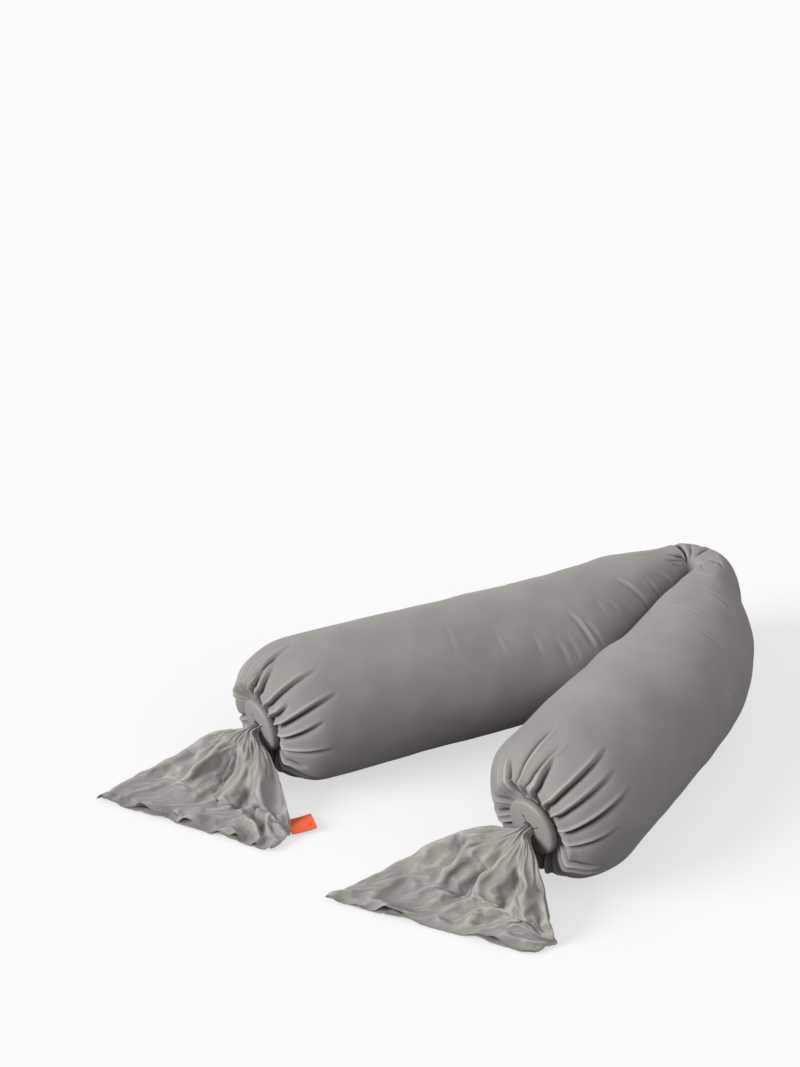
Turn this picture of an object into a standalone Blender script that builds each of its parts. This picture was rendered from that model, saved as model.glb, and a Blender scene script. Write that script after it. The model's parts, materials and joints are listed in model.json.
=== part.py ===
"""Nursing pillow: a long bead-filled tube folded into a V, tied off at both ends.

A stretch cover holds a liner bag full of beads. Each end of the cover is gathered
through a round silicone tie disc, and its open end spreads past the disc as a flat tail.
Metres, +Z up, standing on Z = 0. The origin is under the middle of the fold.
"""

import math

import bmesh
import bpy
from mathutils import Matrix, Vector

# Filled tube
PILLOW_WIDTH = 0.206
PILLOW_HEIGHT = 0.187
UNDERSIDE_WIDTH = 0.076  # the flat that the beads press against the table
COVER_THICKNESS = 0.0015
LINER_THICKNESS = 0.001
LAYER_GAP = 0.0003

# Fold between the two arms
LEFT_HEADING = math.radians(205.0)
RIGHT_HEADING = math.radians(258.0)
FOLD_RADIUS = 0.083
FOLD_HEIGHT = 0.176
FOLD_TAPER = 0.12  # length over which an arm reaches its full outer width
ROOT_RADIUS = 0.007
ROOT_FADE = 0.04
BEND_COUNT = 3
BEND_STEPS = 3
JOINT_GAP = 0.0006
CONTACT_GAP = 0.0006
HINGE_PROUD = 0.001  # fold hinges lie this far outside the cover

# Arms, measured along their middle line from the fold's inner crease
LEFT_LENGTH = 0.595
RIGHT_LENGTH = 0.495
RIGHT_BEND = math.radians(-22.5)
RIGHT_BEND_START = 0.10
RIGHT_BEND_LENGTH = 0.18
ARM_STATIONS = (0.0, 0.03, 0.07, 0.11, 0.15, 0.19, 0.23, 0.27, 0.34, 0.42)
CONTACT_STEP = 0.045  # sections are no further apart than this while the arms still touch
CAP_DEPTH = 0.095
CAP_POWER = 2.5
CAP_STEPS = (0.3, 0.52, 0.7, 0.82)
CREST_SHARE = 0.89  # the end is fullest here, in a ring round the disc
CREST_INSET = 1.5  # layers under the crest lie this much deeper than elsewhere
DIMPLE_DEPTH = 0.022  # the disc sits this far inside the rounded end
DIMPLE_MARGIN = 0.003  # cloth round the disc in its dimple

# Gathered ends
LEFT_CAP_YAW = math.radians(10.0)
RIGHT_CAP_YAW = math.radians(-16.0)
CAP_LEAN = math.radians(-8.0)
DISC_RADIUS = 0.0375
DISC_THICKNESS = 0.013
DISC_EDGE = 0.0055
NECK_RADIUS = 0.0100
NECK_CLEARANCE = 0.0004
RECESS_CLEARANCE = 0.006  # the neck slides level while the recess leans
RECESS_DEPTH = 0.046
NECK_TUCK = 0.040  # how far the gathered cloth reaches back into the end

# Tails and their hems
TAIL_AZIMUTH = {"left": math.radians(229.0), "right": math.radians(212.5)}
TAIL_REACH = {"left": 0.113, "right": 0.121}
HEM_HEADING = {"left": math.radians(-24.0), "right": math.radians(-21.0)}
TAIL_HALF_WIDTH = 0.132
TAIL_HALF_THICKNESS = 0.013
HEM_HALF_THICKNESS = 0.006
HEM_DEPTH = 0.015
TAIL_DROP = 0.62  # share of the reach over which the tail comes down to the table
TAIL_STATIONS = 8

# Care label in the left tail's side seam
LABEL_WIDTH = 0.030
LABEL_LENGTH = 0.033
LABEL_THICKNESS = 0.0016
LABEL_SEAM_SHARE = 0.55  # where along the tail its root is sewn

SIDES = 20
ROUND_SIDES = 24

HALF_WIDTH = PILLOW_WIDTH / 2
FLAT_RATIO = math.sqrt(1 - (UNDERSIDE_WIDTH / PILLOW_WIDTH) ** 2)
HALF_HEIGHT = PILLOW_HEIGHT / (1 + FLAT_RATIO)
AXIS_HEIGHT = HALF_HEIGHT * FLAT_RATIO
LINER_INSET = COVER_THICKNESS + LAYER_GAP
BEADS_INSET = LINER_INSET + LINER_THICKNESS + LAYER_GAP
CONTACT_HEADING = (LEFT_HEADING + RIGHT_HEADING) / 2
FAN_START = LEFT_HEADING - math.pi / 2
FAN_END = RIGHT_HEADING + math.pi / 2 - 2 * math.pi
BEND_ANGLE = (FAN_START - FAN_END) / BEND_COUNT
NOSE_TURNS = tuple(math.radians(turn) for turn in (75, 50, 25))
UP = Vector((0, 0, 1))


def heading_vector(angle):
    return Vector((math.cos(angle), math.sin(angle), 0))


def cross_2d(a, b):
    return a.x * b.y - a.y * b.x


FOLD_MIDDLE = (FAN_START + FAN_END) / 2
ROOT = heading_vector(FOLD_MIDDLE) * -(ROOT_RADIUS + FOLD_RADIUS) / 2


def smooth(t):
    t = min(max(t, 0.0), 1.0)
    return t * t * (3 - 2 * t)


# ---------------------------------------------------------------- sections and lofts


def filled_outline(half_width, inset, scale=1.0, height_scale=1.0):
    """(across, up) points of a filled section with its underside pressed flat."""
    across = half_width * scale - inset
    upward = HALF_HEIGHT * height_scale * scale - inset
    floor = AXIS_HEIGHT * height_scale * scale - inset
    start = -math.asin(floor / upward)
    span = math.pi - 2 * start
    points = []
    for i in range(SIDES):
        t = start + span * i / (SIDES - 1)
        points.append((across * math.cos(t), upward * math.sin(t)))
    return points


def place_ring(outline, centre, across, upward):
    return [centre + across * x + upward * y for x, y in outline]


def add_ring(bm, points):
    return [bm.verts.new(p) for p in points]


def bridge(bm, first, second):
    count = len(first)
    for i in range(count):
        j = (i + 1) % count
        bm.faces.new((first[i], first[j], second[j], second[i]))


def loft(bm, rings):
    """Skin a list of point rings and return the first and the last vertex ring."""
    made = [add_ring(bm, ring) for ring in rings]
    for first, second in zip(made, made[1:]):
        bridge(bm, first, second)
    return made[0], made[-1]


def solid_mesh(name, rings):
    bm = bmesh.new()
    first, last = loft(bm, rings)
    bm.faces.new(first)
    bm.faces.new(last)
    return finish_mesh(name, bm)


def tube_mesh(name, outer, inner, open_end):
    """A walled tube; its far end is open, or closed by two separate floors."""
    bm = bmesh.new()
    outer_first, outer_last = loft(bm, outer)
    inner_first, inner_last = loft(bm, inner)
    bridge(bm, outer_first, inner_first)
    if open_end:
        bridge(bm, outer_last, inner_last)
    else:
        bm.faces.new(outer_last)
        bm.faces.new(inner_last)
    return finish_mesh(name, bm)


def finish_mesh(name, bm):
    bmesh.ops.recalc_face_normals(bm, faces=bm.faces)
    mesh = bpy.data.meshes.new(name)
    bm.to_mesh(mesh)
    bm.free()
    return mesh


# ---------------------------------------------------------------- objects and materials


def make_material(name, colour, roughness):
    material = bpy.data.materials.new(name)
    material.use_nodes = True
    shader = material.node_tree.nodes["Principled BSDF"]
    shader.inputs["Base Color"].default_value = (*colour, 1.0)
    shader.inputs["Roughness"].default_value = roughness
    shader.inputs["Metallic"].default_value = 0.0
    return material


def make_pivot(name, place):
    pivot = bpy.data.objects.new(name, None)
    pivot.empty_display_size = 0.03
    pivot.location = place
    bpy.context.collection.objects.link(pivot)
    return pivot


def make_object(name, mesh, pivot, material, sharp=50.0):
    """Add a node whose mesh is drawn in place, hung on its joint's pivot."""
    mesh.transform(Matrix.Translation(-pivot.location))
    mesh.shade_smooth()
    mesh.set_sharp_from_angle(angle=math.radians(sharp))
    node = bpy.data.objects.new(name, mesh)
    node.parent = pivot
    node.data.materials.append(material)
    bpy.context.collection.objects.link(node)
    return node


# ---------------------------------------------------------------- fold


def fan_ring(angle, shift, inset):
    """Section through the fold at an angle round its inner crease."""
    across = heading_vector(angle)
    middle = (ROOT_RADIUS + FOLD_RADIUS) / 2
    half_width = (FOLD_RADIUS - ROOT_RADIUS) / 2
    along = heading_vector(angle - math.pi / 2)
    low = FOLD_HEIGHT / PILLOW_HEIGHT
    centre = ROOT + across * middle + along * shift + UP * AXIS_HEIGHT * low
    outline = filled_outline(half_width, inset, height_scale=low)
    return place_ring(outline, centre, across, UP)


def bend_rings(index, inset):
    start = FAN_START - index * BEND_ANGLE
    rings = []
    for step in range(BEND_STEPS + 1):
        share = step / BEND_STEPS
        shift = JOINT_GAP / 2 * (1 - 2 * share)
        rings.append(fan_ring(start - share * BEND_ANGLE, shift, inset))
    return rings


def fold_hinge(index):
    angle = FAN_START - index * BEND_ANGLE
    return ROOT + heading_vector(angle) * (FOLD_RADIUS + HINGE_PROUD)


# ---------------------------------------------------------------- arms


class Arm:
    """One arm of the V: its line on the table, its widths and its gathered end."""

    def __init__(self, side):
        left = side == "left"
        self.side = side
        self.heading = LEFT_HEADING if left else RIGHT_HEADING
        self.length = LEFT_LENGTH if left else RIGHT_LENGTH
        self.turn = 0.0 if left else RIGHT_BEND
        self.outward = -math.pi / 2 if left else math.pi / 2
        self.yaw = LEFT_CAP_YAW if left else RIGHT_CAP_YAW

    def heading_at(self, s):
        share = min(max((s - RIGHT_BEND_START) / RIGHT_BEND_LENGTH, 0.0), 1.0)
        return self.heading + self.turn * share

    def point_at(self, s):
        first = min(s, RIGHT_BEND_START)
        arc = min(max(s - RIGHT_BEND_START, 0.0), RIGHT_BEND_LENGTH)
        last = max(s - RIGHT_BEND_START - RIGHT_BEND_LENGTH, 0.0)
        middle = self.heading + self.turn * arc / RIGHT_BEND_LENGTH / 2
        half = self.turn * arc / RIGHT_BEND_LENGTH / 2
        chord = arc * (math.sin(half) / half if half else 1.0)
        point = ROOT + heading_vector(self.heading) * first
        point += heading_vector(middle) * chord
        return point + heading_vector(self.heading_at(s)) * last

    def inner_extent(self, s):
        """Distance from the arm's line to its inner side, where the arms press together."""
        place = self.point_at(s) - ROOT
        inward = heading_vector(self.heading_at(s) - self.outward)
        contact = heading_vector(CONTACT_HEADING)
        reach = abs(cross_2d(place, contact) / cross_2d(inward, contact))
        if self.side == "right":
            other = heading_vector(LEFT_HEADING)
            apart = cross_2d(other, place) - HALF_WIDTH
            reach = max(reach, -apart / cross_2d(other, inward))
        clear = max(CONTACT_GAP, ROOT_RADIUS * (1 - s / ROOT_FADE))
        return min(HALF_WIDTH, reach - clear)

    def outer_extent(self, s):
        return FOLD_RADIUS + (HALF_WIDTH - FOLD_RADIUS) * smooth(s / FOLD_TAPER)

    def body_ring(self, s, inset):
        inner = self.inner_extent(s)
        outer = self.outer_extent(s)
        across = heading_vector(self.heading_at(s) + self.outward)
        place = max(s, JOINT_GAP / 2)
        low = FOLD_HEIGHT / PILLOW_HEIGHT
        low += (1 - low) * smooth(s / FOLD_TAPER)
        centre = self.point_at(place) + across * (outer - inner) / 2 + UP * AXIS_HEIGHT * low
        outline = filled_outline((inner + outer) / 2, inset, height_scale=low)
        return place_ring(outline, centre, across, UP)

    def end_frame(self, share):
        """Axis, across and up directions at a share of the way round into the end."""
        turned = smooth(share)
        heading = self.heading_at(self.length) + self.yaw * turned
        lean = CAP_LEAN * turned
        level = heading_vector(heading)
        axis = level * math.cos(lean) + UP * math.sin(lean)
        upward = UP * math.cos(lean) - level * math.sin(lean)
        return axis, heading_vector(heading + self.outward), upward

    def cap_point(self, share, depth):
        """Middle of the rounded end, stepping along its slowly turning axis."""
        steps = 8
        point = self.point_at(self.length) + UP * AXIS_HEIGHT
        for i in range(steps):
            axis, _, _ = self.end_frame(share * (i + 0.5) / steps)
            point = point + axis * (share * depth / steps)
        return point

    def cap_ring(self, share, inset):
        scale = (1 - share**CAP_POWER) ** (1 / CAP_POWER)
        _, across, upward = self.end_frame(share)
        centre = self.cap_point(share, CAP_DEPTH - inset)
        return place_ring(filled_outline(HALF_WIDTH, inset, scale), centre, across, upward)

    def crest_ring(self, inset):
        """Fullest ring of the end, where its shoulder turns into the dimple."""
        scale = (1 - CREST_SHARE**CAP_POWER) ** (1 / CAP_POWER)
        _, across, upward = self.end_frame(CREST_SHARE)
        centre = self.cap_point(CREST_SHARE, CAP_DEPTH - CREST_INSET * inset)
        return place_ring(filled_outline(HALF_WIDTH, 0.0, scale), centre, across, upward)

    def seat(self):
        """Middle of the dimple's floor, which the tie disc sits against."""
        axis, _, _ = self.end_frame(1.0)
        return self.cap_point(1.0, CAP_DEPTH) - axis * DIMPLE_DEPTH

    def end_ring(self, back, radius):
        """Round ring on the disc's axis, a distance back from the dimple's floor."""
        axis, across, upward = self.end_frame(1.0)
        centre = self.seat() - axis * back
        outline = []
        start = -math.asin(FLAT_RATIO)
        span = math.pi - 2 * start
        for i in range(SIDES):
            t = start + span * i / (SIDES - 1)
            outline.append((radius * math.cos(t), radius * math.sin(t)))
        return place_ring(outline, centre, across, upward)

    def stations(self):
        """Distances of the arm's sections, closer together while it touches the other arm."""
        coarse = [s for s in ARM_STATIONS if s < self.length - 0.05] + [self.length]
        fine = []
        for s, after in zip(coarse, coarse[1:]):
            touching = self.inner_extent(s) < HALF_WIDTH
            parts = math.ceil((after - s) / CONTACT_STEP) if touching else 1
            fine += [s + (after - s) * i / parts for i in range(parts)]
        return fine + [self.length]

    def layer_rings(self, inset):
        rings = [self.body_ring(s, inset) for s in self.stations()]
        rings += [self.cap_ring(share, inset) for share in CAP_STEPS]
        rings.append(self.crest_ring(inset))
        rings.append(self.end_ring(inset, DISC_RADIUS + DIMPLE_MARGIN + inset))
        return rings

    def recess_rings(self, inset, wall):
        """The round hollow at the end that the gathered neck slides in."""
        radius = NECK_RADIUS + RECESS_CLEARANCE + wall
        mouth = self.end_ring(inset, radius)
        floor = self.end_ring(RECESS_DEPTH + wall, radius)
        return [mouth, floor]


def build_arm(arm, pivot, materials):
    side = arm.side
    cover_outer = arm.layer_rings(0.0) + [arm.end_ring(0.0, NECK_RADIUS + RECESS_CLEARANCE)]
    cover_inner = arm.layer_rings(COVER_THICKNESS)
    cover_inner += [arm.end_ring(COVER_THICKNESS, NECK_RADIUS + RECESS_CLEARANCE)]
    cover = tube_mesh(f"cover_{side}_arm", cover_outer, cover_inner, open_end=True)
    make_object(f"cover_{side}_arm", cover, pivot, materials["jersey"])

    liner_outer = arm.layer_rings(LINER_INSET) + arm.recess_rings(LINER_INSET, 0.0)
    inset = LINER_INSET + LINER_THICKNESS
    liner_inner = arm.layer_rings(inset) + arm.recess_rings(inset, LINER_THICKNESS)
    liner = tube_mesh(f"liner_{side}_arm", liner_outer, liner_inner, open_end=False)
    make_object(f"liner_{side}_arm", liner, pivot, materials["liner"])

    wall = LINER_THICKNESS + LAYER_GAP
    beads = arm.layer_rings(BEADS_INSET) + arm.recess_rings(BEADS_INSET, wall)
    mesh = solid_mesh(f"beads_{side}_arm", beads)
    make_object(f"beads_{side}_arm", mesh, pivot, materials["beads"])


def build_bend(index, pivot, materials):
    number = index + 1
    name = f"cover_bend_{number}"
    cover = tube_mesh(name, bend_rings(index, 0.0), bend_rings(index, COVER_THICKNESS), True)
    make_object(name, cover, pivot, materials["jersey"])
    name = f"liner_bend_{number}"
    inset = LINER_INSET + LINER_THICKNESS
    liner = tube_mesh(name, bend_rings(index, LINER_INSET), bend_rings(index, inset), True)
    make_object(name, liner, pivot, materials["liner"])
    name = f"beads_bend_{number}"
    beads = solid_mesh(name, bend_rings(index, BEADS_INSET))
    make_object(name, beads, pivot, materials["beads"])


# ---------------------------------------------------------------- gathered ends


def round_rings(profile, origin, axis, across, upward):
    """Rings of a turned shape from its (along, radius) profile."""
    rings = []
    for along, radius in profile:
        centre = origin + axis * along
        ring = []
        for i in range(ROUND_SIDES):
            t = 2 * math.pi * i / ROUND_SIDES
            ring.append(centre + (across * math.cos(t) + upward * math.sin(t)) * radius)
        rings.append(ring)
    return rings


def disc_profile():
    """Half outline of the tie disc, from its hole round the rounded rim and back."""
    hole = NECK_RADIUS + NECK_CLEARANCE
    profile = [(0.0, hole)]
    for i in range(4):
        turn = math.pi / 2 * i / 3
        radius = DISC_RADIUS - DISC_EDGE * (1 - math.sin(turn))
        profile.append((DISC_EDGE * (1 - math.cos(turn)), radius))
    for i in range(4):
        turn = math.pi / 2 * i / 3
        radius = DISC_RADIUS - DISC_EDGE * (1 - math.cos(turn))
        profile.append((DISC_THICKNESS - DISC_EDGE * (1 - math.sin(turn)), radius))
    profile.append((DISC_THICKNESS, hole))
    return profile


def build_disc(arm, pivot, materials):
    side = arm.side
    axis, across, upward = arm.end_frame(1.0)
    seat = arm.seat() + axis * LAYER_GAP
    bm = bmesh.new()
    first, last = loft(bm, round_rings(disc_profile(), seat, axis, across, upward))
    bridge(bm, last, first)
    mesh = finish_mesh(f"tie_disc_{side}", bm)
    make_object(f"tie_disc_{side}", mesh, pivot, materials["silicone"], sharp=40.0)

    rounding = NECK_RADIUS * 0.3
    profile = [
        (-NECK_TUCK, NECK_RADIUS - rounding),
        (rounding - NECK_TUCK, NECK_RADIUS),
        (DISC_THICKNESS, NECK_RADIUS),
        (DISC_THICKNESS + LAYER_GAP, NECK_RADIUS - LAYER_GAP),
    ]
    name = f"gathered_neck_{side}"
    mesh = solid_mesh(name, round_rings(profile, seat, axis, across, upward))
    make_object(name, mesh, pivot, materials["jersey"])


# ---------------------------------------------------------------- tails


class Tail:
    """Flat open end of the cover past the disc, from its neck down to its hem."""

    def __init__(self, arm):
        axis, _, _ = arm.end_frame(1.0)
        seat = arm.seat()
        nose = LAYER_GAP + DISC_THICKNESS + 2 * LAYER_GAP + NECK_RADIUS
        self.side = arm.side
        self.mouth = seat + axis * nose
        self.azimuth = TAIL_AZIMUTH[arm.side]
        self.reach = TAIL_REACH[arm.side]
        self.hem_heading = HEM_HEADING[arm.side]

    def section(self, share):
        """Centre, across, up, half width and half thickness at a share of the reach."""
        forward = heading_vector(self.azimuth)
        drop = self.mouth.z - HEM_HALF_THICKNESS
        left = max(1 - share / TAIL_DROP, 0.0)
        centre = self.mouth + forward * (self.reach * share)
        centre.z = HEM_HALF_THICKNESS + drop * left**1.5
        slope = drop * 1.5 * left**0.5 / (TAIL_DROP * self.reach)
        tangent = (forward - UP * slope).normalized()
        square = self.azimuth + math.pi / 2 - 2 * math.pi
        across = heading_vector(square + (self.hem_heading - square) * smooth(share))
        upward = across.cross(tangent).normalized()
        if upward.z < 0:
            upward = -upward
        spread = math.sin(math.pi / 2 * share**0.8)
        half_width = NECK_RADIUS + (TAIL_HALF_WIDTH - NECK_RADIUS) * spread
        bulge = TAIL_HALF_THICKNESS * math.sin(math.pi * share) ** 0.8 if share < 1 else 0.0
        half_thickness = max(HEM_HALF_THICKNESS, NECK_RADIUS * (1 - share), bulge)
        return centre, across, upward, half_width, half_thickness

    def ring(self, share):
        centre, across, upward, half_width, half_thickness = self.section(share)
        ring = []
        for i in range(SIDES):
            t = 2 * math.pi * (i + 0.5) / SIDES
            flat = math.copysign(abs(math.sin(t)) ** 0.8, math.sin(t))
            point = centre + across * half_width * math.cos(t) + upward * half_thickness * flat
            point.z = max(point.z, 0.0)
            ring.append(point)
        return ring

    def nose_rings(self):
        """Round start of the tail, centred on the hinge so that it can lift."""
        _, across, upward, _, _ = self.section(0.0)
        tangent = across.cross(upward)
        if tangent.dot(heading_vector(self.azimuth)) < 0:
            tangent = -tangent
        rings = []
        for turn in NOSE_TURNS:
            radius = NECK_RADIUS * math.cos(turn)
            centre = self.mouth - tangent * NECK_RADIUS * math.sin(turn)
            ring = []
            for i in range(SIDES):
                t = 2 * math.pi * (i + 0.5) / SIDES
                ring.append(centre + (across * math.cos(t) + upward * math.sin(t)) * radius)
            rings.append(ring)
        return rings


def build_tail(tail, pivot, materials):
    side = tail.side
    rings = tail.nose_rings()
    rings += [tail.ring(i / TAIL_STATIONS) for i in range(TAIL_STATIONS + 1)]
    make_object(f"tail_{side}", solid_mesh(f"tail_{side}", rings), pivot, materials["jersey"])

    edge = rings[-1]
    square = heading_vector(tail.hem_heading - math.pi / 2)
    if square.dot(heading_vector(tail.azimuth)) < 0:
        square = -square
    near = [point + square * LAYER_GAP for point in edge]
    far = [point + square * (LAYER_GAP + HEM_DEPTH) for point in edge]
    make_object(f"hem_{side}", solid_mesh(f"hem_{side}", [near, far]), pivot, materials["jersey"])


def seam_point(tail, share):
    """Point on the tail's side seam that faces away from the pillow's other arm."""
    centre, across, _, half_width, _ = tail.section(share)
    side = across if across.x > 0 else -across
    point = centre + side * half_width
    point.z = HEM_HALF_THICKNESS
    return point


def label_frame(tail):
    """Root of the label, the seam's direction there and the direction out of it."""
    root = seam_point(tail, LABEL_SEAM_SHARE)
    ahead = seam_point(tail, LABEL_SEAM_SHARE + 0.02)
    seam = (ahead - root).normalized()
    out = Vector((-seam.y, seam.x, 0))
    if out.x < 0:
        out = -out
    return root + out * LAYER_GAP, seam, out


def build_label(tail, pivot, materials):
    root, seam, out = label_frame(tail)
    half = LABEL_THICKNESS / 2
    rings = []
    for shift in (-LABEL_WIDTH / 2, LABEL_WIDTH / 2):
        start = root + seam * shift
        end = start + out * LABEL_LENGTH
        rings.append([start - UP * half, start + UP * half, end + UP * half, end - UP * half])
    mesh = solid_mesh("care_label", rings)
    make_object("care_label", mesh, pivot, materials["ribbon"], sharp=30.0)


# ---------------------------------------------------------------- assembly


def clear_scene():
    for old in list(bpy.data.objects):
        bpy.data.objects.remove(old, do_unlink=True)


def main():
    clear_scene()
    materials = {
        "jersey": make_material("jersey", (0.27, 0.25, 0.23), 0.9),
        "liner": make_material("liner", (0.75, 0.73, 0.68), 0.9),
        "beads": make_material("beads", (0.9, 0.9, 0.88), 0.7),
        "silicone": make_material("silicone", (0.33, 0.30, 0.27), 0.55),
        "ribbon": make_material("ribbon", (0.9, 0.13, 0.03), 0.6),
    }
    arms = {side: Arm(side) for side in ("left", "right")}

    left_pivot = make_pivot("left_arm_frame", Vector((0, 0, 0)))
    build_arm(arms["left"], left_pivot, materials)
    for index in range(BEND_COUNT):
        pivot = make_pivot(f"fold_hinge_{index + 1}", fold_hinge(index))
        build_bend(index, pivot, materials)
    right_pivot = make_pivot(f"fold_hinge_{BEND_COUNT + 1}", fold_hinge(BEND_COUNT))
    build_arm(arms["right"], right_pivot, materials)

    for side, arm in arms.items():
        disc_pivot = make_pivot(f"disc_slide_{side}", arm.seat())
        build_disc(arm, disc_pivot, materials)
        tail = Tail(arm)
        tail_pivot = make_pivot(f"tail_hinge_{side}", tail.mouth)
        build_tail(tail, tail_pivot, materials)
        if side == "left":
            label_pivot = make_pivot("label_hinge", label_frame(tail)[0])
            build_label(tail, label_pivot, materials)


main()
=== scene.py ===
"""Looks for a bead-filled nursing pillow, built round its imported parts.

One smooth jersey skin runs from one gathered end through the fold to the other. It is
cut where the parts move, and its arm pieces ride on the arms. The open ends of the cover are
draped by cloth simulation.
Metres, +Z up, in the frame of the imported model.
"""

import json
import math

import bmesh
import bpy
import numpy as np
from mathutils import Matrix, Vector, noise


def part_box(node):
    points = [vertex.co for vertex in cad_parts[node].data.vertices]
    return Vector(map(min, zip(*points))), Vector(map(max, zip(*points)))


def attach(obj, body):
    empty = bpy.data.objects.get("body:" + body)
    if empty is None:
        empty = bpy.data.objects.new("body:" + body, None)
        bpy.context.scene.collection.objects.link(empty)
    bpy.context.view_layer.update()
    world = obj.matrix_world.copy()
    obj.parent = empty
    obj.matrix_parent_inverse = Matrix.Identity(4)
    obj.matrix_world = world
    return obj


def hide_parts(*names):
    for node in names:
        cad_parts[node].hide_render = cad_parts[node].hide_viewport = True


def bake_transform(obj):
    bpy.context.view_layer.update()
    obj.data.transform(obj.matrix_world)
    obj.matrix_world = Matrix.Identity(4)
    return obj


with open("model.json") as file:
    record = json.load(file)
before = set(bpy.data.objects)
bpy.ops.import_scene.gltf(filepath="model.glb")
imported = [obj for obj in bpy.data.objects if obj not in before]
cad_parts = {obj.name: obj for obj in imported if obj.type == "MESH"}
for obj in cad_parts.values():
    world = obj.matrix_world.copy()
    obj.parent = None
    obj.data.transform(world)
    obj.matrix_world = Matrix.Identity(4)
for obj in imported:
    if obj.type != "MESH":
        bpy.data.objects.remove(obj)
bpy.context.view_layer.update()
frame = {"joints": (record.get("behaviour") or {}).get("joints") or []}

# Filled tube, as the parts have it
PILLOW_WIDTH = 0.206
PILLOW_HEIGHT = 0.187
UNDERSIDE_WIDTH = 0.076
LEFT_HEADING = math.radians(205.0)
RIGHT_HEADING = math.radians(258.0)
FOLD_RADIUS = 0.083
FOLD_HEIGHT = 0.176
FOLD_TAPER = 0.12
CREASE_RADIUS = 0.007
CREASE_FADE = 0.04
INNER_RADIUS = 0.0035  # the cloth closes the crease a little more than the parts do
BEND_COUNT = 3
CONTACT_GAP = 0.0006
ARM_LENGTH = {"left": 0.595, "right": 0.495}
RIGHT_BEND = math.radians(-22.5)
RIGHT_BEND_START = 0.10
RIGHT_BEND_LENGTH = 0.18

# Gathered ends, as the parts have them
CAP_DEPTH = 0.095
CAP_POWER = 2.5
CAP_YAW = {"left": math.radians(10.0), "right": math.radians(-16.0)}
CAP_LEAN = math.radians(-8.0)
DIMPLE_DEPTH = 0.022
DISC_RADIUS = 0.0375
DISC_THICKNESS = 0.013
DISC_EDGE = 0.0055
NECK_RADIUS = 0.010
LAYER_GAP = 0.0003

# Tails, as the parts have them
TAIL_AZIMUTH = {"left": math.radians(229.0), "right": math.radians(212.5)}
TAIL_REACH = {"left": 0.113, "right": 0.121}
HEM_HEADING = {"left": math.radians(-24.0), "right": math.radians(-21.0)}
TAIL_HALF_WIDTH = 0.132
HEM_HALF_THICKNESS = 0.006
HEM_DEPTH = 0.015
TAIL_DROP = 0.62
LABEL_WIDTH = 0.030
LABEL_LENGTH = 0.033

# Skin
AROUND = 360  # points round the tube
ARM_STEP = 0.0024
ARM_SMOOTHING = 16  # times that each row is averaged with its neighbours
CAP_STEP = 0.0018
FOLD_STEPS = 120
PRESSED_SQUARENESS = 0.85
FLOOR_SOFTNESS = 0.006
CLOTH_ROUND = 0.617  # how far the cover measures round
FOLD_MARGIN = 0.05  # the fold's end pieces reach this far into the arms
SHOULDER = 0.03  # the rounded end's rows start this far back on the arm
CAP_SHARES = (0.02, 0.16, 0.32, 0.46, 0.58, 0.68, 0.76, 0.82)
# Rings from the rounded end into the dimple: distance ahead of its floor, and radius
LIP_RINGS = ((0.0098, 0.064), (0.0082, 0.0555), (0.0035, 0.0475), (0.0008, 0.0420))
UNDER_RINGS = ((-0.0002, 0.0345), (-0.001, 0.024), (-0.0012, NECK_RADIUS + 0.001))

# Derived sizes
HALF_WIDTH = PILLOW_WIDTH / 2
FLAT_RATIO = math.sqrt(1 - (UNDERSIDE_WIDTH / PILLOW_WIDTH) ** 2)
HALF_HEIGHT = PILLOW_HEIGHT / (1 + FLAT_RATIO)
AXIS_HEIGHT = HALF_HEIGHT * FLAT_RATIO
CONTACT_HEADING = (LEFT_HEADING + RIGHT_HEADING) / 2
FOLD_START = LEFT_HEADING - math.pi / 2
FOLD_END = RIGHT_HEADING + math.pi / 2 - 2 * math.pi
UP = np.array([0.0, 0.0, 1.0])


def heading_vector(angle):
    return np.array([math.cos(angle), math.sin(angle), 0.0])


def cross_2d(a, b):
    return a[0] * b[1] - a[1] * b[0]


def smooth(t):
    t = np.clip(t, 0.0, 1.0)
    return t * t * (3 - 2 * t)


def unit(v):
    return v / np.linalg.norm(v)


CREASE = heading_vector((FOLD_START + FOLD_END) / 2) * -(CREASE_RADIUS + FOLD_RADIUS) / 2


# ---------------------------------------------------------------- sections of the tube


class Section:
    """A filled cross-section: its middle, its directions and its half sizes."""

    def __init__(self, centre, across, upward, half_width, size, pressed=0.0):
        self.centre = centre
        self.across = across
        self.upward = upward
        self.half_width = half_width
        self.half_height = HALF_HEIGHT * size
        self.floor = AXIS_HEIGHT * size
        self.pressed = pressed

    def ring(self, turns):
        """Points round the section, pressed flat on the table and on the other arm."""
        inner = (np.cos(turns) < 0) * self.pressed
        power = 1 / (1 + PRESSED_SQUARENESS * inner)
        x = np.sign(np.cos(turns)) * np.abs(np.cos(turns)) ** power * self.half_width
        z = np.sign(np.sin(turns)) * np.abs(np.sin(turns)) ** power * self.half_height
        soft = FLOOR_SOFTNESS * min(1.0, self.half_height / HALF_HEIGHT)
        above = z + self.floor
        z = (above + np.sqrt(above**2 + soft**2)) / 2 - self.floor
        z -= soft**2 / 4 / (self.half_height + self.floor)
        return self.centre + np.outer(x, self.across) + np.outer(z, self.upward)


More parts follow.
